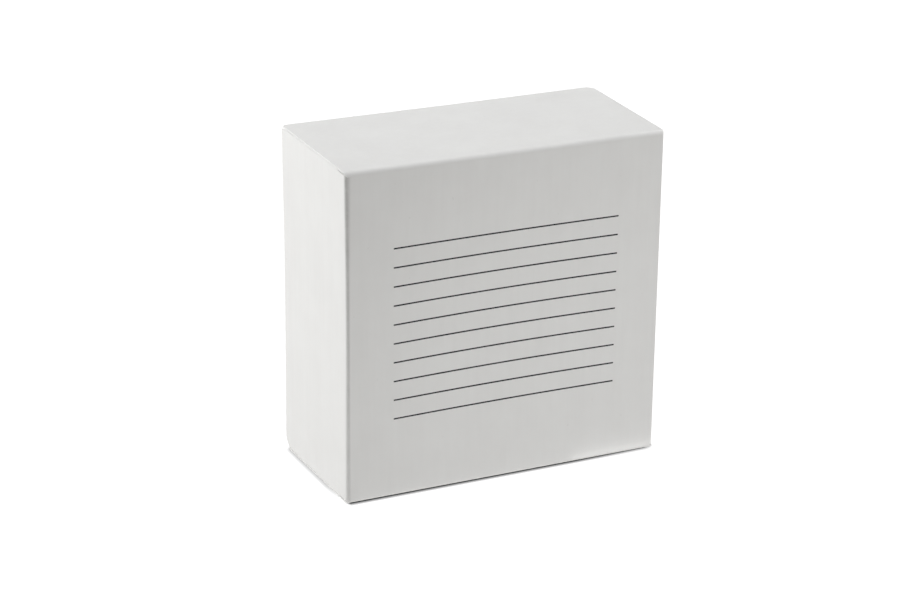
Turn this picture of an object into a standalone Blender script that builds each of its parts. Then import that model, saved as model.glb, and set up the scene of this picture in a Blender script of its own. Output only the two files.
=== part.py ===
"""Folded-board cryogenic storage box: a full-depth lid over a tray that holds a slotted divider grid.

The box stands on one side wall, the way it is kept on its edge. Metres, +Z up. X runs across the lid's
face, Z up it, and Y through the box's depth: the lid's face looks along -Y, the tray's floor along +Y.
The origin is under the middle of the box, on the surface it stands on.
"""

import math
from collections import namedtuple

import bmesh
import bpy
from mathutils import Vector

MM = 0.001

# Lid and tray, each folded from one blank of coated board
BOARD = 0.7 * MM                # thickness of the lid's and the tray's board
LID_RIM_SIDE = 133.0 * MM       # the lid's square footprint, outside, at its rim
LID_PANEL_SIDE = 131.3 * MM     # and at its face: the walls spread towards the rim
TRAY_SIDE = 128.0 * MM          # outside, with room for the lid's board and its glue tabs
BOX_DEPTH = 60.0 * MM           # lid face to tray floor, outside, closed
RIM_SETBACK = 0.6 * MM          # the lid's rim stops this far short of the tray's floor
FOLD_RADIUS = 1.2 * MM          # outer radius of a folded edge
PANEL_DISH = 2.0 * MM           # how far the middle of the lid's face sags inwards
PANEL_CUTS = 7                  # lines that divide the lid's face each way, for the sag
RUNNING_GAP = 0.3 * MM          # between pieces that touch

# Glue tabs: the side walls' ends, folded in and stuck under the top and bottom walls
TAB_WIDTH = 12.0 * MM
TAB_TAPER = 3.0 * MM
TAB_INSET = 6.0 * MM            # from the panel, and from the rim, to a tab's ends
GLUE_OVERLAP = 0.1 * MM         # how far a tab runs into the board that it is stuck to

# Corners of the lid's rim, cut or worn round, by wall: (end of the wall, radius)
LID_RIM_CORNERS = {
    "top": [(+1, 3.5 * MM)],
    "bottom": [(-1, 4.0 * MM), (+1, 4.0 * MM)],
    "left": [(-1, 5.0 * MM), (+1, 1.0 * MM)],
    "right": [(-1, 4.0 * MM), (+1, 3.5 * MM)],
}
TRAY_RIM_RADIUS = 2.0 * MM
CORNER_STEPS = 4                # straight pieces in a rounded corner

# Divider: nine by nine cells from two sets of slotted strips
STRIPS_PER_SET = 8
DIVIDER_BOARD = 0.7 * MM
CELL_PITCH = 14.0 * MM
DIVIDER_DEPTH = 38.0 * MM
SLOT_WIDTH = DIVIDER_BOARD + 2 * RUNNING_GAP
SLOT_MOUTH = SLOT_WIDTH + 1.6 * MM
SLOT_LEAD_IN = 1.2 * MM

# Derived places
FACE_Y = -BOX_DEPTH / 2
FLOOR_Y = BOX_DEPTH / 2
TRAY_BOTTOM = 2 * BOARD + RUNNING_GAP
TRAY_MIDDLE = TRAY_BOTTOM + TRAY_SIDE / 2
STRIP_LENGTH = TRAY_SIDE - 2 * (BOARD + RUNNING_GAP)
DIVIDER_BACK_Y = FLOOR_Y - BOARD - RUNNING_GAP
DIVIDER_FRONT_Y = DIVIDER_BACK_Y - DIVIDER_DEPTH
CROSSING_Y = (DIVIDER_BACK_Y + DIVIDER_FRONT_Y) / 2
CROSSING_PLACES = [(i - (STRIPS_PER_SET - 1) / 2) * CELL_PITCH for i in range(STRIPS_PER_SET)]

# A folded box with one open side: its panel and its rim are squares that stand on the height bottom
Folded = namedtuple("Folded", "name panel_y panel_side rim_y rim_side bottom")
LID = Folded("lid", FACE_Y, LID_PANEL_SIDE, FLOOR_Y - RIM_SETBACK, LID_RIM_SIDE, 0.0)
TRAY = Folded("base_tray", FLOOR_Y, TRAY_SIDE, FACE_Y + BOARD + RUNNING_GAP, TRAY_SIDE, TRAY_BOTTOM)


def clear_scene():
    for old in list(bpy.data.objects):
        bpy.data.objects.remove(old, do_unlink=True)


def new_collection(name):
    collection = bpy.data.collections.new(name)
    bpy.context.scene.collection.children.link(collection)
    return collection


def board_material(name, colour, roughness):
    material = bpy.data.materials.new(name)
    material.use_nodes = True
    shader = material.node_tree.nodes["Principled BSDF"]
    shader.inputs["Base Color"].default_value = (*colour, 1.0)
    shader.inputs["Roughness"].default_value = roughness
    shader.inputs["Metallic"].default_value = 0.0
    return material


def flat_solid(name, outlines, thickness):
    """A mesh of closed outlines in its own XY plane, thickened evenly to both sides of it."""
    curve = bpy.data.curves.new(name + "_outline", "CURVE")
    curve.dimensions = "2D"
    curve.fill_mode = "BOTH"
    curve.extrude = thickness / 2
    for outline in outlines:
        spline = curve.splines.new("POLY")
        spline.points.add(len(outline) - 1)
        for point, (u, v) in zip(spline.points, outline):
            point.co = (u, v, 0.0, 1.0)
        spline.use_cyclic_u = True
    guide = bpy.data.objects.new(name + "_outline", curve)
    bpy.context.scene.collection.objects.link(guide)
    evaluated = guide.evaluated_get(bpy.context.evaluated_depsgraph_get())
    mesh = bpy.data.meshes.new_from_object(evaluated)
    bpy.data.objects.remove(guide, do_unlink=True)
    mesh.name = name

    bm = bmesh.new()
    bm.from_mesh(mesh)
    bmesh.ops.remove_doubles(bm, verts=bm.verts, dist=0.01 * MM)
    bmesh.ops.recalc_face_normals(bm, faces=bm.faces)
    bm.to_mesh(mesh)
    bm.free()
    return mesh


def combine(target, tool, operation, cutters):
    cutters.objects.link(tool)
    tool.hide_render = True
    tool.display_type = "WIRE"
    boolean = target.modifiers.new(tool.name, "BOOLEAN")
    boolean.operation = operation
    boolean.solver = "EXACT"
    boolean.object = tool


def towards_rim(box):
    return math.copysign(1, box.rim_y - box.panel_y)


def outer_side(box, y):
    """The outside size of the box's square section at y."""
    share = (y - box.panel_y) / (box.rim_y - box.panel_y)
    return box.panel_side + share * (box.rim_side - box.panel_side)


def folded_shell(box, dish):
    """The board of a folded box: a panel and four walls, round at the folds and open at the rim."""
    bm = bmesh.new()
    bmesh.ops.create_cube(bm, size=1.0)
    for vert in bm.verts:
        at_rim = vert.co.y * towards_rim(box) > 0
        side = box.rim_side if at_rim else box.panel_side
        y = box.rim_y if at_rim else box.panel_y
        vert.co = Vector((vert.co.x * side, y, box.bottom + (vert.co.z + 0.5) * side))
    bm.normal_update()
    mouth = max(bm.faces, key=lambda face: face.normal.y * towards_rim(box))
    bmesh.ops.delete(bm, geom=[mouth], context="FACES_ONLY")
    folds = [edge for edge in bm.edges if not edge.is_boundary]
    bmesh.ops.bevel(bm, geom=folds, offset=FOLD_RADIUS, offset_type="OFFSET", segments=2,
                    profile=0.5, affect="EDGES")
    if dish:
        dish_panel(bm, box, dish)

    mesh = bpy.data.meshes.new(box.name)
    bm.to_mesh(mesh)
    bm.free()
    shell = bpy.data.objects.new(box.name, mesh)
    solid = shell.modifiers.new("board", "SOLIDIFY")
    solid.thickness = BOARD
    solid.offset = -1.0
    solid.use_even_offset = True
    return shell


def dish_panel(bm, box, dish):
    """Press the middle of the panel in, level with its folds at the edges."""
    bm.normal_update()
    panel = max(bm.faces, key=lambda face: -face.normal.y * towards_rim(box) * face.calc_area())
    bmesh.ops.subdivide_edges(bm, edges=panel.edges[:], cuts=PANEL_CUTS, use_grid_fill=True)
    half = box.panel_side / 2 - FOLD_RADIUS
    middle = box.bottom + box.panel_side / 2
    for vert in bm.verts:
        across = 1 - (vert.co.x / half) ** 2
        up = 1 - ((vert.co.z - middle) / half) ** 2
        on_panel = abs(vert.co.y - box.panel_y) < 0.01 * MM
        if on_panel and across > 1e-4 and up > 1e-4:
            vert.co.y += towards_rim(box) * dish * (across * up) ** 1.5


def add_tabs(shell, box, cutters):
    """Stick the four glue tabs under the shell's top and bottom walls."""
    forward = towards_rim(box)
    panel_end = box.panel_y + forward * TAB_INSET
    rim_end = box.rim_y - forward * TAB_INSET
    thickness = BOARD + GLUE_OVERLAP

    def edge(y, width):
        return (outer_side(box, y) / 2 - BOARD - width, y)

    tab = [edge(panel_end, -GLUE_OVERLAP), edge(panel_end + forward * TAB_TAPER, TAB_WIDTH),
           edge(rim_end - forward * TAB_TAPER, TAB_WIDTH), edge(rim_end, -GLUE_OVERLAP)]
    mesh = flat_solid(box.name + "_tabs", [tab, [(-x, y) for x, y in tab]], thickness)

    for wall, up in (("top", 1), ("bottom", -1)):
        tabs = bpy.data.objects.new(box.name + "_tabs_" + wall, mesh)
        height = box.bottom
        if wall == "top":
            # The top wall climbs towards the rim, and its tabs with it
            climb = (box.rim_side - box.panel_side) / (box.rim_y - box.panel_y)
            tabs.rotation_euler.x = math.atan(climb)
            height += outer_side(box, 0)
        tabs.location.z = height - up * (BOARD - GLUE_OVERLAP + thickness / 2)
        combine(shell, tabs, "UNION", cutters)


def corner_outline(end, radius, corner_u, rim_v, rim_sign):
    """What is cut away to round one corner: a square patch without its quarter circle."""
    spare = 1.0 * MM
    centre_u = corner_u - end * radius
    centre_v = rim_v - rim_sign * radius
    arc = []
    for step in range(CORNER_STEPS + 1):
        turn = math.pi / 2 * step / CORNER_STEPS
        arc.append((centre_u + end * radius * math.cos(turn),
                    centre_v + rim_sign * radius * math.sin(turn)))
    outside_u = corner_u + end * spare
    outside_v = rim_v + rim_sign * spare
    return arc + [(centre_u, outside_v), (outside_u, outside_v), (outside_u, centre_v)]


def round_rim_corners(shell, box, corners, cutters):
    """Round the ends of each wall's free edge."""
    half = box.rim_side / 2
    middle = box.bottom + half
    for wall, ends in corners.items():
        name = f"{box.name}_rim_{wall}"
        outlines = [corner_outline(end, radius, end * half, box.rim_y, towards_rim(box))
                    for end, radius in ends]
        cutter = bpy.data.objects.new(name, flat_solid(name, outlines, 4 * BOARD))
        if wall in ("top", "bottom"):
            cutter.location.z = middle + (half if wall == "top" else -half)
        else:
            # Turned about Y so that the outline's first axis points up the wall
            cutter.rotation_euler.y = -math.pi / 2
            cutter.location = (half if wall == "right" else -half, 0, middle)
        combine(shell, cutter, "DIFFERENCE", cutters)


def make_lid(parts, cutters):
    lid = folded_shell(LID, PANEL_DISH)
    lid.data.materials.append(board_material("lid_board", (0.84, 0.84, 0.82), 0.55))
    parts.objects.link(lid)
    add_tabs(lid, LID, cutters)
    round_rim_corners(lid, LID, LID_RIM_CORNERS, cutters)


def make_tray(parts, cutters):
    tray = folded_shell(TRAY, 0)
    tray.data.materials.append(board_material("tray_board", (0.84, 0.84, 0.82), 0.55))
    parts.objects.link(tray)
    add_tabs(tray, TRAY, cutters)
    both_ends = [(-1, TRAY_RIM_RADIUS), (+1, TRAY_RIM_RADIUS)]
    corners = {wall: both_ends for wall in ("top", "bottom", "left", "right")}
    round_rim_corners(tray, TRAY, corners, cutters)


def strip_outline(slot_edge_y, far_edge_y):
    """A strip in (length, depth), with a half-depth slot for each strip that crosses it."""
    inwards = math.copysign(1, far_edge_y - slot_edge_y)
    lead_y = slot_edge_y + inwards * SLOT_LEAD_IN
    slot_end_y = CROSSING_Y + inwards * RUNNING_GAP / 2
    half_length = STRIP_LENGTH / 2
    outline = [(-half_length, far_edge_y), (-half_length, slot_edge_y)]
    for centre in CROSSING_PLACES:
        outline += [
            (centre - SLOT_MOUTH / 2, slot_edge_y), (centre - SLOT_WIDTH / 2, lead_y),
            (centre - SLOT_WIDTH / 2, slot_end_y), (centre + SLOT_WIDTH / 2, slot_end_y),
            (centre + SLOT_WIDTH / 2, lead_y), (centre + SLOT_MOUTH / 2, slot_edge_y),
        ]
    return outline + [(half_length, slot_edge_y), (half_length, far_edge_y)]


def make_divider(parts):
    """Upright strips are slotted from the lid's side, cross strips from the tray floor's side."""
    upright_outline = strip_outline(DIVIDER_FRONT_Y, DIVIDER_BACK_Y)
    cross_outline = strip_outline(DIVIDER_BACK_Y, DIVIDER_FRONT_Y)
    upright_mesh = flat_solid("upright_strip", [upright_outline], DIVIDER_BOARD)
    cross_mesh = flat_solid("cross_strip", [cross_outline], DIVIDER_BOARD)
    upright_mesh.materials.append(board_material("upright_strip_board", (0.80, 0.79, 0.76), 0.7))
    cross_mesh.materials.append(board_material("cross_strip_board", (0.80, 0.79, 0.76), 0.7))
    for number, place in enumerate(CROSSING_PLACES, start=1):
        upright = bpy.data.objects.new(f"upright_strip_{number}", upright_mesh)
        upright.rotation_euler.y = -math.pi / 2
        upright.location = (place, 0, TRAY_MIDDLE)
        parts.objects.link(upright)
        cross = bpy.data.objects.new(f"cross_strip_{number}", cross_mesh)
        cross.location = (0, 0, TRAY_MIDDLE + place)
        parts.objects.link(cross)


def main():
    clear_scene()
    parts = new_collection("cryogenic_storage_box")
    cutters = new_collection("cutters")
    make_lid(parts, cutters)
    make_tray(parts, cutters)
    make_divider(parts)


main()
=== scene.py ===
"""The looks of the folded-board cryogenic storage box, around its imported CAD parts.

Millimetres are used for the shapes below and turned into metres where a mesh is written. X runs across
the lid's face, Z up it, Y through the box's depth. The lid and the tray are fine meshes of folded board
that stand for their CAD nodes; the divider's strips keep their CAD nodes and get their board material.
"""

import math
from collections import namedtuple

import bpy
from mathutils import Matrix, Vector, noise


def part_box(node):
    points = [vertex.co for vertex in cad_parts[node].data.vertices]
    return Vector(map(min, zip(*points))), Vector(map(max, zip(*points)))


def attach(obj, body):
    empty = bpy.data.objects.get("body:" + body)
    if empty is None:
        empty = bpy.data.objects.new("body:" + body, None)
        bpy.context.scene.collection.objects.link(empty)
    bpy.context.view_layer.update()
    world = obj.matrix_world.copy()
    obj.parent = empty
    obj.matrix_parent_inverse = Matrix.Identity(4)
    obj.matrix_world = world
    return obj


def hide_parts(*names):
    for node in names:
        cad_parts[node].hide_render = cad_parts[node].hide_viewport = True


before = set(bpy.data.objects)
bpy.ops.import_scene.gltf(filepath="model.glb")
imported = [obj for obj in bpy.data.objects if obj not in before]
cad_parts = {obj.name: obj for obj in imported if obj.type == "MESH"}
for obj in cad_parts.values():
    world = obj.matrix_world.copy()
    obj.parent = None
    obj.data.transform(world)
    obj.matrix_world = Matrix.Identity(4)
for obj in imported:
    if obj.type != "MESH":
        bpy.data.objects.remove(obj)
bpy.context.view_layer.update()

MM = 0.001

# Board and folds, as in part.py
BOARD = 0.7
LID_FACE_SIDE = 131.3           # the lid's face; its rim is the CAD node's own width
LID_FACE_SKEW = 0.65            # the face reaches this much further to the right than to the left
FACE_DISH = 2.0                 # how far the middle of the lid's face sags inwards
DISH_POWER = 1.5
TAB_WIDTH = 12.0
TAB_TAPER = 3.0
TAB_INSET = 6.0
TIGHTEST_FOLD = 0.12            # inner radius that a fold never goes below
TAB_FOLD = 0.22                 # outer radius of a tab's fold
SEAM_GAP = 0.03                 # between a tab and the wall that it is stuck to
SEAM_OPENING = 0.22             # and at the rim, where the glue stops short
SEAM_LENGTH = 7.0
EDGE_BULGE = 0.15               # how far a raw edge stands proud of its square end
EDGE_ROUND = ((0.12, 0.7), (0.5, 1.0), (0.88, 0.7))     # (place through the board, share of the bulge)
SHARP_ANGLE = math.radians(50)  # edges between faces that turn more than this stay sharp

# Waves of a wall: their height, how fast they change along and down it, and the depth
# where they reach full height
WAVINESS = 0.10
WAVES_ALONG = 3.1
WAVES_DOWN = 0.045
WAVES_APART = 7.3               # so that each wall has waves of its own
WAVES_FULL = 12

# Painted darkening of a fold
DARK_AT_PANEL = 0.7             # where the fold meets the panel, next to 1 on the fold itself
DARK_IN_MIDDLE = 0.5            # added halfway round the fold
DARK_AT_FOOT = 0.4              # at a fold's low end, next to 1 at its high end
DARK_REACH = (0.3, 0.9)         # how far it spreads onto the panel beside the left fold, at foot and head
LIGHTER_END = 0.12               # share of a fold's length over which a lighter end fades: partly rubbed board, partly a painted highlight

# The ruled writing lines on the lid's face
LINE_COUNT = 10
LINE_PITCH = 7.563
LINE_TOP = 99.52
LINE_ENDS = (-46.2, 47.65)
LINE_THICKNESS = 0.60

# Material slots of a folded piece
COATED, INSIDE, RAW, INK = range(4)

# Where a mesh's points stand: close together near the ends and the rim, so that corners and folds stay smooth
END_STATIONS = [0.0, 0.08, 0.28, 0.6, 1.05, 1.6, 2.3, 3.2, 4.2, 5.6, 7.5, 10.0]
RIM_STATIONS = (0.0, 0.25, 0.7, 1.4, 2.4, 3.8)
MIDDLE_STATIONS = 30
STATION_GAP = 0.4               # a station this share of a step or less from a ruled line's edge is left out
DEPTH_STATIONS = 22
FIRST_WALL_ROW = 3.2            # depth of the first row past the folds
FOLD_STEPS = 7
TAB_FOLD_STEPS = 3
TAB_REACHES = (1.5, 3.5, 6.0, 9.0, TAB_WIDTH)
TAB_RIM_GAP = 0.3               # between a tab's end and the start of the rim's rounded corner

# A folded box, open at its rim. Each pair is the side's low end, then its high end.
# face, rim: where the panel and the rim lie in Y. at_face, at_rim: the section's edges there.
# folds: outer radii of a side's fold. corners: radii of a wall's corners at the rim.
# dish: how far the panel sags. lines: whether it is ruled.
# sags: how far a wall bends inwards at its fold and at its rim, and where along it.
# pokes: how far a wall's ends stand out. scuffs: how much darker a fold is painted.
# rubs: how far a fold is painted lighter all along, and at its two ends: partly rubbed white, partly a
# painted highlight.
Carton = namedtuple("Carton", "name face rim at_face at_rim folds corners dish lines sags pokes scuffs rubs")
Section = namedtuple("Section", "left right low high")


def millimetres(node):
    low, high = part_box(node)
    return low / MM, high / MM


def blend_values(a, b, share):
    return a + (b - a) * share


def hump(share, peak=0.5):
    """0 at both ends, 1 at the peak, level there."""
    warped = share ** (math.log(0.5) / math.log(peak))
    return math.sin(math.pi * min(max(warped, 0.0), 1.0)) ** 1.5


class FoldedBlank:
    """The board of a carton as one sheet of cells. Each of its points has an outer and an inner place."""

    SIDES = ("left", "right", "bottom", "top")

    def __init__(self, carton):
        self.carton = carton
        self.sense = math.copysign(1, carton.rim - carton.face)
        self.depth = abs(carton.rim - carton.face)
        self.places = {}
        self.cells = []
        self.fold_dark = {}
        self.rub_highlight = {}
        flat = carton.at_face
        self.across = self.stations(flat.left, flat.right, LINE_ENDS if carton.lines else ())
        self.up = self.stations(flat.low, flat.high, self.line_edges())
        self.rows = self.wall_rows()
        self.lay_panel()
        for side in self.SIDES:
            self.lay_wall(side)
        for side in ("left", "right"):
            for end in (0, 1):
                self.lay_tab(side, end)

    def line_edges(self):
        if not self.carton.lines:
            return ()
        centres = [LINE_TOP - LINE_PITCH * i for i in range(LINE_COUNT)]
        return [c + s * LINE_THICKNESS / 2 for c in centres for s in (-1, 1)]

    def stations(self, low, high, extra):
        """Places along a side, as shares of its length: close together at its ends, and at the extra ones."""
        length = high - low
        near = [d / length for d in END_STATIONS]
        step = (1 - 2 * near[-1]) / MIDDLE_STATIONS
        middle = [near[-1] + step * i for i in range(1, MIDDLE_STATIONS)]
        special = sorted((e - low) / length for e in extra)
        plain = sorted(near + middle + [1 - n for n in near])
        kept = [p for p in plain if all(abs(p - s) > STATION_GAP * step for s in special)]
        return sorted(kept + special)

    def section(self, depth):
        share = min(max(depth / self.depth, 0.0), 1.0)
        a, b = self.carton.at_face, self.carton.at_rim
        return Section(*(blend_values(p, q, share) for p, q in zip(a, b)))

    def radius(self, side, share, inner=False):
        """A fold's outer or inner radius, at a share of the side's length."""
        outer = blend_values(*self.carton.folds[side], share)
        return max(outer - BOARD, TIGHTEST_FOLD) if inner else outer

    def fold_inset(self, side, share, inner):
        """How far inside the section's edge the panel ends and this fold begins."""
        return (BOARD if inner else 0.0) + self.radius(side, share, inner)

    def wall_rows(self):
        """Rows of every wall: (share of the fold, None) over the fold, then (None, depth) to the rim."""
        start, end = FIRST_WALL_ROW, self.depth - EDGE_BULGE
        near_rim = [end - d for d in RIM_STATIONS]
        count = DEPTH_STATIONS - len(near_rim)
        body = [blend_values(start, near_rim[-1], i / count) for i in range(count)]
        folds = [(i / FOLD_STEPS, None) for i in range(FOLD_STEPS + 1)]
        return folds + [(None, d) for d in body + near_rim[::-1]]

    def face_place(self, x, z, depth):
        """A point of the panel, sunk by the dish."""
        if self.carton.dish:
            half = (self.carton.at_face.high - self.carton.at_face.low) / 2
            middle = (self.carton.at_face.low + self.carton.at_face.high) / 2
            across = max(1 - (x / half) ** 2, 0.0)
            up = max(1 - ((z - middle) / half) ** 2, 0.0)
            depth += self.carton.dish * (across * up) ** DISH_POWER
        return Vector((x, self.carton.face + self.sense * depth, z))

    def lay_panel(self):
        """The panel between its four folds."""
        flat = self.carton.at_face
        self.up = self.fit_stations(
            self.up, flat.low, flat.high, *self.panel_span("bottom", "top", 0.5, False))
        self.across = self.fit_stations(
            self.across, flat.left, flat.right, *self.panel_span("left", "right", 0.5, False))
        for i, u in enumerate(self.across):
            for j, v in enumerate(self.up):
                pair = []
                for inner in (False, True):
                    x = blend_values(*self.panel_span("left", "right", v, inner), u)
                    z = blend_values(*self.panel_span("bottom", "top", u, inner), v)
                    x += self.sag("left", 0, v) * max(1 - 2 * u, 0) ** 2
                    z -= self.sag("top", 0, u) * max(2 * v - 1, 0) ** 2
                    pair.append(self.face_place(x, z, BOARD if inner else 0.0))
                self.places["panel", i, j] = pair
                # The panel next to the left fold is painted darker too, fading away from the fold and
                # reaching further towards its head.
                beside = pair[0].x - self.panel_span("left", "right", v, False)[0]
                reach = blend_values(*DARK_REACH, v ** 3)
                fading = math.exp(-(beside / reach) ** 2)
                self.fold_dark["panel", i, j] = self.scuff("left", v) * DARK_AT_PANEL * fading
        for i in range(len(self.across) - 1):
            for j in range(len(self.up) - 1):
                corners = [("panel", i, j), ("panel", i + 1, j), ("panel", i + 1, j + 1), ("panel", i, j + 1)]
                self.cells.append((corners, INK if self.on_line(corners) else COATED))

    def panel_span(self, first, second, share, inner):
        """Where the panel begins and ends between two folds, at a share of their length."""
        flat = self.carton.at_face
        low, high = (flat.left, flat.right) if first == "left" else (flat.low, flat.high)
        return low + self.fold_inset(first, share, inner), high - self.fold_inset(second, share, inner)

    def fit_stations(self, shares, low, high, new_low, new_high):
        """Shares of a whole side, moved to shares of its part between the folds, with the places kept."""
        ends = len(END_STATIONS)
        fitted = []
        for n, share in enumerate(shares):
            if n < ends or n >= len(shares) - ends:
                fitted.append(share)
            else:
                fitted.append((blend_values(low, high, share) - new_low) / (new_high - new_low))
        return fitted

    def on_line(self, corners):
        if not self.carton.lines:
            return False
        middle = sum((self.places[c][0] for c in corners), Vector()) / 4
        nearest = (LINE_TOP - middle.z) / LINE_PITCH
        return (LINE_ENDS[0] < middle.x < LINE_ENDS[1] and -0.5 < nearest < LINE_COUNT - 0.5
                and abs(nearest - round(nearest)) * LINE_PITCH < LINE_THICKNESS / 2)

    def sag(self, side, depth, share):
        """How far a wall bends inwards at this depth and share of its length, and its slight waviness."""
        at_fold, at_rim, peak = self.carton.sags.get(side, (0.0, 0.0, 0.5))
        down = (depth / self.depth) ** 1.5
        bend = blend_values(at_fold, at_rim, down) * hump(share, peak)
        own = self.SIDES.index(side) * WAVES_APART + self.sense
        ripple = noise.noise(Vector((share * WAVES_ALONG, depth * WAVES_DOWN, own)))
        return bend + WAVINESS * (0.5 + 0.5 * ripple) * hump(share) * min(depth / WAVES_FULL, 1.0)

    def scuff(self, side, share):
        """How much darker a fold is painted at a share of its length."""
        return self.carton.scuffs.get(side, 0.0) * blend_values(DARK_AT_FOOT, 1.0, share)

    def rub(self, side, share):
        """How far a fold is painted lighter, all along and more at either end: partly rubbed down to its
        white core, partly a painted highlight.
        """
        along, low, high = self.carton.rubs.get(side, (0.0, 0.0, 0.0))
        return along + low * max(1 - share / LIGHTER_END, 0.0) + high * max(1 - (1 - share) / LIGHTER_END, 0.0)

    def ends(self, side, depth, progress, inner):
        """Where a wall's two ends lie at this depth. Over the fold they spread from the panel's corners."""
        section = self.section(depth)
        flat_side = side in ("left", "right")
        neighbours = ("bottom", "top") if flat_side else ("left", "right")
        corner = {"left": 0.0, "right": 1.0, "bottom": 0.0, "top": 1.0}[side]
        inset = [self.fold_inset(n, corner, inner) for n in neighbours]
        if flat_side:
            wall_inset = BOARD + self.seam(depth) + (BOARD + TIGHTEST_FOLD if inner else TAB_FOLD)
            low = section.low + blend_values(inset[0], wall_inset, progress)
            high = section.high - blend_values(inset[1], wall_inset, progress)
        else:
            poke = self.carton.pokes.get(side, (0.0, 0.0))
            fade = max(1 - depth / self.depth, 0.0)
            low = section.left + blend_values(inset[0], EDGE_BULGE - poke[0] * fade, progress)
            high = section.right - blend_values(inset[1], EDGE_BULGE - poke[1] * fade, progress)
        return low, high

    def seam(self, depth):
        near_rim = max(1 - (self.depth - depth) / SEAM_LENGTH, 0.0)
        return blend_values(SEAM_GAP, SEAM_OPENING, near_rim ** 1.5)

    def wall_depth(self, side, depth, share, length):
        """A row's depth, drawn back where the rim's corner is rounded."""
        start, full = self.rows[FOLD_STEPS + 1][1], self.depth - EDGE_BULGE
        if depth <= start:
            return depth
        cut = 0.0
        for distance, radius in zip((share * length, (1 - share) * length), self.carton.corners[side]):
            if distance < radius:
                cut = max(cut, radius - math.sqrt(max(radius ** 2 - (radius - distance) ** 2, 0.0)))
        return start + (depth - start) * (full - cut - start) / (full - start)

    def lay_wall(self, side):
        flat_side = side in ("left", "right")
        shares = self.up if flat_side else self.across
        outward = {"left": -1, "right": 1, "bottom": -1, "top": 1}[side]
        last = {"left": 0, "right": len(self.across) - 1, "bottom": 0, "top": len(self.up) - 1}[side]
        for k, (turn, row_depth) in enumerate(self.rows):
            for n, share in enumerate(shares):
                key = self.wall_key(side, k, n, last)
                if key in self.places:
                    continue
                angle = math.pi / 2 * (1.0 if turn is None else turn)
                pair = []
                for is_inner in (False, True):
                    bend, shift = self.radius(side, share, is_inner), BOARD if is_inner else 0.0
                    if turn is None:
                        low, high = self.ends(side, row_depth, 1.0, is_inner)
                        depth = self.wall_depth(side, row_depth, share, high - low)
                        depth = max(depth, shift + bend)
                        inset = shift
                    else:
                        depth = shift + bend * (1 - math.cos(angle))
                        inset = shift + bend * (1 - math.sin(angle))
                    progress = 1.0 if turn is None else math.sin(angle)
                    low, high = self.ends(side, depth, progress, is_inner)
                    along = blend_values(low, high, share)
                    section = self.section(depth)
                    edge = getattr(section, {"bottom": "low", "top": "high"}.get(side, side))
                    sag = self.sag(side, depth, share)
                    out = edge - outward * (inset + sag)
                    y = self.carton.face + self.sense * depth
                    pair.append(Vector((out, y, along) if flat_side else (along, y, out)))
                self.places[key] = pair
                if turn is not None and 0 < turn < 1:
                    around = DARK_AT_PANEL + DARK_IN_MIDDLE * math.sin(angle * 2)
                    # The fold is painted darker here, most where it meets the panel.
                    self.fold_dark[key] = self.scuff(side, share) * math.cos(angle) * around
                    # The fold is also painted lighter here: partly rubbed board, partly a painted highlight.
                    self.rub_highlight[key] = self.rub(side, share) * math.sin(angle)
        for k in range(len(self.rows) - 1):
            for n in range(len(shares) - 1):
                around = (k, n), (k + 1, n), (k + 1, n + 1), (k, n + 1)
                cell = [self.wall_key(side, a, b, last) for a, b in around]
                if side in ("right", "bottom"):
                    cell.reverse()
                self.cells.append((cell[::-1], COATED))

    def wall_key(self, side, k, n, last):
        if k:
            return side, k, n
        return ("panel", last, n) if side in ("left", "right") else ("panel", n, last)

    def lay_tab(self, side, end):
        """A glue tab: hinged on a side wall's end, folded under the bottom or the top wall."""
        last = 0 if side == "left" else len(self.across) - 1
        n = len(self.up) - 1 if end else 0
        up, inward = (1 if end else -1), (1 if side == "left" else -1)
        radius = self.carton.corners[side][end]
        rim_inset = radius + TAB_RIM_GAP
        rows = [k for k, (turn, depth) in enumerate(self.rows)
                if turn is None and TAB_INSET <= depth <= self.depth - rim_inset]
        depths = [self.rows[k][1] for k in rows]
        middle, half = (depths[0] + depths[-1]) / 2, (depths[-1] - depths[0]) / 2
        steps = [(a / TAB_FOLD_STEPS, None) for a in range(TAB_FOLD_STEPS + 1)]
        steps += [(None, reach) for reach in TAB_REACHES]
        for k in rows:
            outer, inner = self.places[self.wall_key(side, k, n, last)]
            for m, (turn, reach) in enumerate(steps):
                if m == 0:
                    continue
                angle = math.pi / 2 * (1.0 if turn is None else turn)
                far = 0.0 if turn is not None else reach
                slide = (middle - abs(outer.y - self.carton.face)) / half * TAB_TAPER * far / TAB_WIDTH
                pair = []
                for start, bend in ((outer, TAB_FOLD), (inner, TIGHTEST_FOLD)):
                    x = start.x + inward * (bend * (1 - math.cos(angle)) + max(far - bend, 0.0))
                    z = start.z + up * bend * math.sin(angle)
                    pair.append(Vector((x, start.y + self.sense * slide, z)))
                self.places["tab", side, end, k, m] = pair
        for k in rows[:-1]:
            for m in range(len(steps) - 1):
                cell = []
                for a, b in ((k, m), (k + 1, m), (k + 1, m + 1), (k, m + 1)):
                    cell.append(("tab", side, end, a, b) if b else self.wall_key(side, a, n, last))
                if (side == "left") != bool(end):
                    cell.reverse()
                self.cells.append((cell, COATED))


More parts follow.
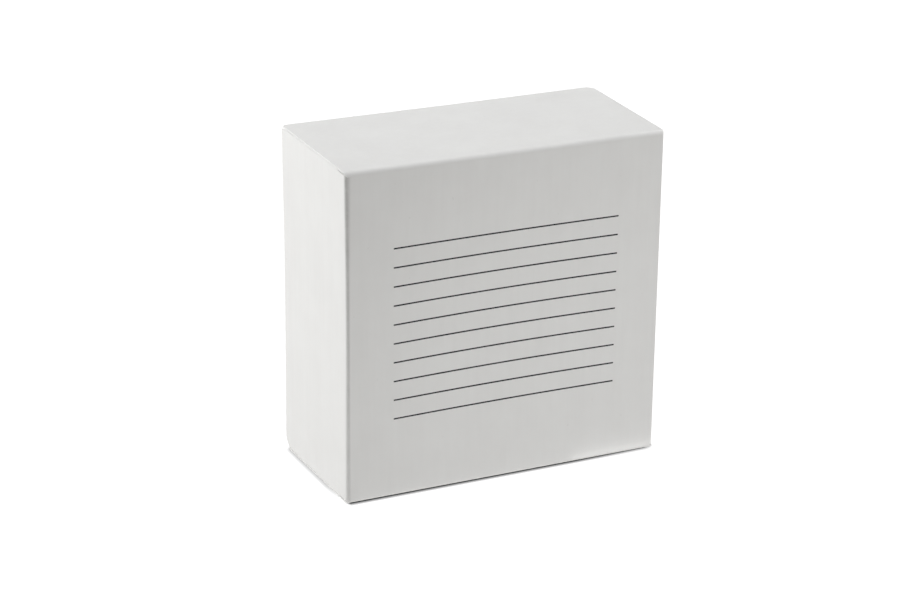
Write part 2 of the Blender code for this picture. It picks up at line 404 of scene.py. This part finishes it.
def sheet_mesh(name, blank):
    """Both faces of the sheet and its raw edges, as one closed mesh."""
    vertices, faces, slots, fold_dark, rub_highlight = [], [], [], [], []

    def add(point, dark_tone=0.0, lightening=0.0):
        vertices.append(point * MM)
        fold_dark.append(dark_tone)
        rub_highlight.append(lightening)
        return len(vertices) - 1

    outer, inner = {}, {}
    for key, (a, b) in blank.places.items():
        outer[key], inner[key] = add(a, blank.fold_dark.get(key, 0.0), blank.rub_highlight.get(key, 0.0)), add(b)

    directed = {}
    for cell, slot in blank.cells:
        faces.append([outer[k] for k in cell])
        slots.append(slot)
        faces.append([inner[k] for k in reversed(cell)])
        slots.append(INSIDE)
        for a, b in zip(cell, cell[1:] + cell[:1]):
            directed[a, b] = True
    border = [(a, b) for a, b in directed if (b, a) not in directed]

    outwards = {}
    for a, b in border:
        along = (blank.places[b][0] - blank.places[a][0]).normalized()
        up = (blank.places[a][0] - blank.places[a][1]).normalized()
        out = along.cross(up)
        for key in (a, b):
            outwards[key] = outwards.get(key, Vector()) + out
    rounded = {}
    for key, out in outwards.items():
        a, b = blank.places[key]
        push = out.normalized() * EDGE_BULGE
        rounded[key] = [outer[key]] + [
            add(a.lerp(b, share) + push * full) for share, full in EDGE_ROUND
        ] + [inner[key]]
    for a, b in border:
        for n in range(len(rounded[a]) - 1):
            faces.append([rounded[b][n], rounded[a][n], rounded[a][n + 1], rounded[b][n + 1]])
            slots.append(RAW)

    mesh = bpy.data.meshes.new(name)
    mesh.from_pydata(vertices, [], faces)
    mesh.polygons.foreach_set("material_index", slots)
    mesh.polygons.foreach_set("use_smooth", [True] * len(faces))
    # Each point carries how much darker its fold is painted, and how much lighter, the lighter partly a
    # painted highlight.
    for label, values in (("fold_dark", fold_dark), ("rub_highlight", rub_highlight)):
        mesh.attributes.new(label, "FLOAT", "POINT").data.foreach_set("value", values)
    mesh.set_sharp_from_angle(angle=SHARP_ANGLE)
    mesh.validate()
    return mesh


def folded_board(carton, body, materials):
    """A carton's piece, in place of its CAD node."""
    mesh = sheet_mesh(carton.name + "_board", FoldedBlank(carton))
    for material in materials:
        mesh.materials.append(material)
    piece = bpy.data.objects.new(carton.name + "_board", mesh)
    bpy.context.scene.collection.objects.link(piece)
    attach(piece, body)
    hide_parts(carton.name)
    return piece


def lid_carton():
    low, high = millimetres("lid")
    return Carton(
        name="lid", face=low.y, rim=high.y,
        at_face=Section(-LID_FACE_SIDE / 2, LID_FACE_SIDE / 2 + LID_FACE_SKEW, low.z, low.z + LID_FACE_SIDE),
        at_rim=Section(low.x, high.x, low.z, high.z),
        folds={"left": (1.35, 1.1), "right": (1.6, 0.9), "bottom": (1.3, 1.1), "top": (1.9, 1.9)},
        corners={"left": (5.0, 1.0), "right": (4.0, 3.5), "bottom": (4.0, 4.0), "top": (1.6, 3.5)},
        dish=FACE_DISH, lines=True,
        sags={"left": (0.35, 0.35, 0.55), "top": (0.2, 0.1, 0.5)},
        pokes={"top": (0.1, 0.2), "bottom": (0.05, 0.18)},
        # The left fold is painted darker, the right fold a little.
        scuffs={"left": 1.25, "right": 0.2},
        # The top, bottom and right folds are painted lighter in places: partly rubbed board, partly a painted
        # highlight.
        rubs={"top": (0.0, 0.0, 0.9), "bottom": (0.5, 0.0, 0.4), "right": (0.15, 0.8, 0.5)},
    )


def tray_carton():
    low, high = millimetres("base_tray")
    square = Section(low.x, high.x, low.z, high.z)
    return Carton(
        name="base_tray", face=high.y, rim=low.y, at_face=square, at_rim=square,
        folds={"left": (1.0, 1.0), "right": (1.0, 1.0), "bottom": (1.2, 1.2), "top": (1.2, 1.2)},
        corners={side: (2.0, 2.0) for side in FoldedBlank.SIDES},
        dish=0.2, lines=False,
        sags={"left": (0.0, 0.2, 0.5), "right": (0.0, 0.2, 0.5)},
        # All four folds of the tray are painted a little darker.
        pokes={}, scuffs={side: 0.3 for side in FoldedBlank.SIDES}, rubs={},
    )


# Materials

COATED_WHITE, COATED_SHADE = (0.80, 0.80, 0.79), (0.774, 0.772, 0.762)
# The dark tones that folds are painted towards; the small dark specks use them too.
LID_DARK_TONE, TRAY_DARK_TONE = (0.33, 0.325, 0.315), (0.45, 0.44, 0.42)
# The white that folds are painted towards: partly their rubbed core, partly a painted highlight.
RUB_AND_HIGHLIGHT_WHITE = (0.93, 0.93, 0.92)
INSIDE_LIGHT, INSIDE_DARK = (0.80, 0.79, 0.755), (0.73, 0.715, 0.67)
EDGE_LIGHT, EDGE_DARK = (0.83, 0.829, 0.82), (0.76, 0.757, 0.745)
INK_DARK, INK_LIGHT = (0.018, 0.018, 0.019), (0.09, 0.09, 0.09)
STRIP_LIGHT, STRIP_DARK = (0.80, 0.79, 0.755), (0.715, 0.70, 0.655)


class Nodes:
    """A node tree, with short calls to add nodes and links."""

    def __init__(self, tree):
        self.tree = tree

    def add(self, kind, **settings):
        node = self.tree.nodes.new(kind)
        for key, value in settings.items():
            if key in node.inputs:
                node.inputs[key].default_value = value
            else:
                setattr(node, key, value)
        return node

    def link(self, source, target):
        self.tree.links.new(source, target)

    def feed(self, socket, value):
        """Link a socket, or set a number."""
        if isinstance(value, (int, float)):
            socket.default_value = value
        else:
            self.link(value, socket)

    def spread(self, value, low, high, to_low, to_high):
        node = self.add("ShaderNodeMapRange")
        for name, number in (("From Min", low), ("From Max", high), ("To Min", to_low), ("To Max", to_high)):
            node.inputs[name].default_value = number
        self.link(value, node.inputs["Value"])
        return node.outputs["Result"]

    def maths(self, operation, a, b):
        node = self.add("ShaderNodeMath", operation=operation)
        self.feed(node.inputs[0], a)
        self.feed(node.inputs[1], b)
        return node.outputs["Value"]

    def blend(self, share, a, b):
        """A number that goes from a to b with the share."""
        node = self.add("ShaderNodeMix")
        self.link(share, node.inputs[0])
        self.feed(node.inputs[2], a)
        self.feed(node.inputs[3], b)
        return node.outputs[0]


class Finish(Nodes):
    """A material of one surface, placed in the object's own space."""

    def __init__(self, name):
        self.material = bpy.data.materials.new(name)
        self.material.use_nodes = True
        super().__init__(self.material.node_tree)
        self.shader = self.tree.nodes["Principled BSDF"]
        self.place = self.add("ShaderNodeTexCoord").outputs["Object"]

    def noise(self, scale, stretch=(1, 1, 1), detail=3.0, roughness=0.55):
        mapping = self.add("ShaderNodeMapping")
        mapping.inputs["Scale"].default_value = stretch
        self.link(self.place, mapping.inputs["Vector"])
        node = self.add("ShaderNodeTexNoise", Scale=scale, Detail=detail, Roughness=roughness)
        self.link(mapping.outputs["Vector"], node.inputs["Vector"])
        return node.outputs["Fac"]

    def weigh(self, a, share, b):
        """Two textures added by their shares."""
        return self.maths("ADD", self.maths("MULTIPLY", a, share), self.maths("MULTIPLY", b, 1 - share))

    def painted(self, name):
        """A number that the mesh carries at its points."""
        return self.add("ShaderNodeAttribute", attribute_name=name).outputs["Fac"]

    def mix(self, share, a, b):
        node = self.add("ShaderNodeMix", data_type="RGBA")
        self.link(share, node.inputs["Factor"])
        for socket, value in ((node.inputs[6], a), (node.inputs[7], b)):
            if isinstance(value, tuple):
                socket.default_value = (*value, 1.0)
            else:
                self.link(value, socket)
        return node.outputs[2]

    def bump(self, height, distance, strength, after=None):
        node = self.add("ShaderNodeBump", Strength=strength, Distance=distance)
        self.link(height, node.inputs["Height"])
        if after is not None:
            self.link(after, node.inputs["Normal"])
        return node.outputs["Normal"]

    def finish(self, colour, roughness, normal, specular=0.28):
        self.link(colour, self.shader.inputs["Base Color"])
        self.link(roughness, self.shader.inputs["Roughness"])
        self.link(normal, self.shader.inputs["Normal"])
        self.shader.inputs["Specular IOR Level"].default_value = specular
        return self.material


def coated_board(name, dark_tone):
    """White coated board: faint fibre streaks up the sheet, soft mottle, folds painted darker, and folds
    painted lighter, partly rubbed board and partly a painted highlight.
    """
    n = Finish(name)
    streaks = n.noise(1.0, (420, 420, 26), detail=4.0, roughness=0.6)
    mottle = n.noise(70.0, detail=4.0)
    fine = n.noise(1900.0, detail=2.0)
    colour = n.mix(n.spread(n.weigh(streaks, 0.4, mottle), 0.36, 0.64, 0.0, 1.0), COATED_SHADE, COATED_WHITE)
    # Folds are painted darker by the number that each point carries, broken up by noise.
    scuffs = n.spread(n.noise(260.0, detail=5.0, roughness=0.7), 0.35, 0.7, 0.7, 1.0)
    colour = n.mix(n.maths("MULTIPLY", n.maths("MULTIPLY", n.painted("fold_dark"), scuffs), 0.55), colour, dark_tone)
    # Folds are painted lighter by the number that each point carries: partly rubbed board, partly a painted
    # highlight.
    lightening = n.spread(n.noise(500.0), 0.35, 0.6, 0.6, 1.0)
    colour = n.mix(n.maths("MULTIPLY", n.painted("rub_highlight"), lightening), colour, RUB_AND_HIGHLIGHT_WHITE)
    specks = n.spread(n.noise(420.0, detail=1.0), 0.78, 0.84, 0.0, 0.10)
    colour = n.mix(specks, colour, dark_tone)
    roughness = n.spread(mottle, 0.3, 0.7, 0.62, 0.74)
    normal = n.bump(streaks, 0.00005, 0.22)
    normal = n.bump(fine, 0.00002, 0.5, normal)
    return n.finish(colour, roughness, normal)


def inside_board(name):
    """The blank's uncoated side: a little warmer and rougher, with short fibres."""
    n = Finish(name)
    fibres = n.noise(1.0, (700, 700, 90), detail=5.0, roughness=0.7)
    clouds = n.noise(60.0, detail=3.0)
    colour = n.mix(n.spread(n.weigh(fibres, 0.6, clouds), 0.35, 0.65, 0.0, 1.0), INSIDE_DARK, INSIDE_LIGHT)
    normal = n.bump(fibres, 0.00008, 0.6)
    return n.finish(colour, n.spread(clouds, 0.3, 0.7, 0.72, 0.86), normal, specular=0.25)


def raw_edge(name):
    """A cut edge of solid board: pressed layers of fibre, slightly grey."""
    n = Finish(name)
    layers = n.noise(5200.0, detail=4.0, roughness=0.7)
    nicks = n.noise(600.0, detail=3.0)
    colour = n.mix(n.spread(layers, 0.35, 0.65, 0.0, 1.0), EDGE_DARK, EDGE_LIGHT)
    normal = n.bump(nicks, 0.0001, 0.6)
    return n.finish(colour, n.spread(nicks, 0.3, 0.7, 0.8, 0.95), normal, specular=0.2)


def printed_ink(name):
    """Thin dark ink that lets the board's fibres through in places."""
    n = Finish(name)
    gaps = n.noise(1500.0, detail=3.0)
    colour = n.mix(n.spread(gaps, 0.45, 0.75, 0.0, 0.6), INK_DARK, INK_LIGHT)
    return n.finish(colour, n.spread(gaps, 0.3, 0.7, 0.45, 0.6), n.bump(gaps, 0.00002, 0.4))


def divider_board(name):
    """The strips' solid board: fibres along the strip, faint blotches."""
    n = Finish(name)
    fibres = n.noise(1.0, (260, 900, 260), detail=5.0, roughness=0.65)
    blotches = n.noise(90.0, detail=3.0)
    colour = n.mix(n.spread(n.weigh(fibres, 0.55, blotches), 0.34, 0.66, 0.0, 1.0), STRIP_DARK, STRIP_LIGHT)
    normal = n.bump(fibres, 0.00007, 0.6)
    return n.finish(colour, n.spread(blotches, 0.3, 0.7, 0.68, 0.84), normal, specular=0.25)


# Stage

CAMERA_PLACE = (-0.4134, -0.8551, 0.4215)
CAMERA_AZIMUTH = math.radians(25.54)
CAMERA_DOWN = math.radians(20.87)
CAMERA_ROLL = math.radians(0.5855)
CAMERA_LENS = 102.1
SENSOR_WIDTH = 36.0
NEAR_CLIP = 0.05

FLOOR_HALF_SIDE = 8.0
FLOOR_DROP = 0.0001             # so that the floor stays clear of the box's wall
FLOOR_SEEN = 1.12
FLOOR_LIGHT = 0.79
FLOOR_TINT = (1.0, 0.99, 0.97)  # of the light that the floor throws back
WORLD_SEEN = 1.1
WORLD_LIGHT = 0.08
WHITE = (1.0, 1.0, 1.0)

# The dark line where the box meets the floor
SHADOW_REACH = 0.0022
SHADOW_POWER = 2.2
SHADOW_SAMPLES = 16
SHADOW_SOFTNESS = 0.4           # of its power, left at the right end
SHADOW_ON_LEFT = ((0.004, 0.02), (0.018, 0.55))         # (how far behind the box's front, strength)
SHADOW_AT_RIGHT = ((-0.004, 1.0), (0.0005, 0.25))       # (how far past the box's right end, strength)
SHADOW_SIDE = (0.0009, 0.0024)  # from the left strength to the front's, across the left wall's foot

STRIP_HEIGHT = 0.0006           # of the strip lights in front of the box's foot
SPOT_SOFTNESS = 0.08


def set_camera():
    forward = Vector((
        math.sin(CAMERA_AZIMUTH) * math.cos(CAMERA_DOWN),
        math.cos(CAMERA_AZIMUTH) * math.cos(CAMERA_DOWN),
        -math.sin(CAMERA_DOWN),
    ))
    level = Vector((math.cos(CAMERA_AZIMUTH), -math.sin(CAMERA_AZIMUTH), 0.0))
    above = level.cross(forward)
    right = math.cos(CAMERA_ROLL) * level + math.sin(CAMERA_ROLL) * above
    up = math.cos(CAMERA_ROLL) * above - math.sin(CAMERA_ROLL) * level
    camera = bpy.data.objects.new("camera", bpy.data.cameras.new("camera"))
    camera.data.lens = CAMERA_LENS
    camera.data.sensor_width = SENSOR_WIDTH
    camera.data.clip_start = NEAR_CLIP
    turn = Matrix((right, up, -forward)).transposed().to_4x4()
    camera.matrix_world = Matrix.Translation(CAMERA_PLACE) @ turn
    bpy.context.scene.collection.objects.link(camera)
    bpy.context.scene.camera = camera


def seen_or_lit(nodes, kind, seen, lit):
    """A glow that looks one way and lights the object another way. seen, lit: its colour and its strength."""
    mix = nodes.add("ShaderNodeMixShader")
    nodes.link(nodes.add("ShaderNodeLightPath").outputs["Is Camera Ray"], mix.inputs["Fac"])
    glows = []
    for slot, (colour, strength) in ((1, lit), (2, seen)):
        glow = nodes.add(kind, Color=(*colour, 1.0), Strength=strength)
        nodes.link(glow.outputs[0], mix.inputs[slot])
        glows.append(glow)
    return mix.outputs[0], glows[1]


def contact_line(nodes):
    """1 on the open floor, less in the thin line where the box meets it.

    The line is full along the front, softer at the right end and faint along the lit left side.
    """
    low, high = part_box("lid")
    near = nodes.add("ShaderNodeAmbientOcclusion", samples=SHADOW_SAMPLES, Distance=SHADOW_REACH)
    axes = nodes.add("ShaderNodeSeparateXYZ")
    nodes.link(nodes.add("ShaderNodeTexCoord").outputs["Object"], axes.inputs[0])
    across, back = axes.outputs["X"], axes.outputs["Y"]
    power = nodes.spread(across, high.x / 2, high.x, SHADOW_POWER, SHADOW_SOFTNESS * SHADOW_POWER)
    line = nodes.maths("POWER", near.outputs["AO"], power)
    left = strength_along(nodes, back, low.y, SHADOW_ON_LEFT)
    front = strength_along(nodes, across, high.x, SHADOW_AT_RIGHT)
    beside = nodes.spread(across, low.x + SHADOW_SIDE[0], low.x + SHADOW_SIDE[1], 1.0, 0.0)
    return nodes.blend(nodes.blend(beside, front, left), 1.0, line)


def strength_along(nodes, axis, edge, ends):
    """A strength that goes from one place along an axis to another, both counted from an edge."""
    (start, first), (end, last) = ends
    return nodes.spread(axis, edge + start, edge + end, first, last)


def set_floor():
    """A plain pale floor that is white but for the thin dark line where the box meets it."""
    mesh = bpy.data.meshes.new("floor")
    s, z = FLOOR_HALF_SIDE, -FLOOR_DROP
    mesh.from_pydata([(-s, -s, z), (s, -s, z), (s, s, z), (-s, s, z)], [], [(0, 1, 2, 3)])
    floor = bpy.data.objects.new("floor", mesh)
    bpy.context.scene.collection.objects.link(floor)
    material = bpy.data.materials.new("floor")
    material.use_nodes = True
    nodes = Nodes(material.node_tree)
    nodes.tree.nodes.remove(nodes.tree.nodes["Principled BSDF"])
    glow, seen = seen_or_lit(nodes, "ShaderNodeEmission", (WHITE, FLOOR_SEEN), (FLOOR_TINT, FLOOR_LIGHT))
    nodes.link(contact_line(nodes), seen.inputs["Color"])
    nodes.link(glow, nodes.tree.nodes["Material Output"].inputs["Surface"])
    mesh.materials.append(material)


def set_world():
    world = bpy.data.worlds.new("studio")
    bpy.context.scene.world = world
    world.use_nodes = True
    nodes = Nodes(world.node_tree)
    nodes.tree.nodes.remove(nodes.tree.nodes["Background"])
    glow, _ = seen_or_lit(nodes, "ShaderNodeBackground", (WHITE, WORLD_SEEN), (WHITE, WORLD_LIGHT))
    nodes.link(glow, nodes.tree.nodes["World Output"].inputs["Surface"])


def area_light(name, place, target, size, power):
    data = bpy.data.lights.new(name, "AREA")
    data.shape = "RECTANGLE"
    data.size, data.size_y = size
    aim_light(data, place, target, power)


def strip_light(name, x, y, size, power):
    """A very weak strip in front of the box's foot that shines straight up."""
    area_light(name, (x, y, STRIP_HEIGHT), (x, y, 1.0), size, power)


def spot_light(name, place, target, degrees, power):
    """A soft-edged pool of light, brightest at the target."""
    data = bpy.data.lights.new(name, "SPOT")
    data.spot_size = math.radians(degrees)
    data.spot_blend = 1.0
    data.shadow_soft_size = SPOT_SOFTNESS
    aim_light(data, place, target, power)


def aim_light(data, place, target, power):
    data.energy = power
    light = bpy.data.objects.new(data.name, data)
    light.location = place
    light.rotation_euler = (Vector(target) - Vector(place)).to_track_quat("-Z", "Y").to_euler()
    light.visible_camera = False
    bpy.context.scene.collection.objects.link(light)


def set_lights():
    area_light("left_softbox", (-0.85, 0.42, 0.35), (0.0, 0.02, 0.07), (0.8, 0.8), 7.3)
    area_light("top_softbox", (0.05, 0.12, 1.00), (0.0, 0.0, 0.1), (1.2, 0.9), 7.3)
    area_light("front_softbox", (0.32, -0.95, 0.95), (0.0, -0.03, 0.06), (0.6, 0.4), 2.1)
    spot_light("corner_glow", (0.40, -1.15, 0.22), (0.070, -0.03, 0.010), 20.5, 12.4)
    spot_light("lower_glow", (-0.10, -1.15, 0.20), (-0.062, -0.03, 0.02), 9.5, 2.5)
    strip_light("floor_bounce", 0.050, -0.0322, (0.040, 0.003), 0.00019)
    strip_light("floor_glow", 0.0, -0.0318, (0.125, 0.002), 0.00012)


def build():
    board, tray_board = coated_board("lid_board", LID_DARK_TONE), coated_board("tray_board", TRAY_DARK_TONE)
    inside, edge, ink = inside_board("inside_board"), raw_edge("raw_edge"), printed_ink("printed_ink")
    strip_board = divider_board("divider_board")

    folded_board(lid_carton(), "lid", (board, inside, edge, ink))
    folded_board(tray_carton(), "tray", (tray_board, inside, edge))
    for name, node in sorted(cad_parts.items()):
        if "strip" in name:
            for slot in node.material_slots:
                slot.material = strip_board


set_camera()
set_floor()
set_world()
set_lights()
bpy.context.scene.view_settings.view_transform = "Standard"
build()
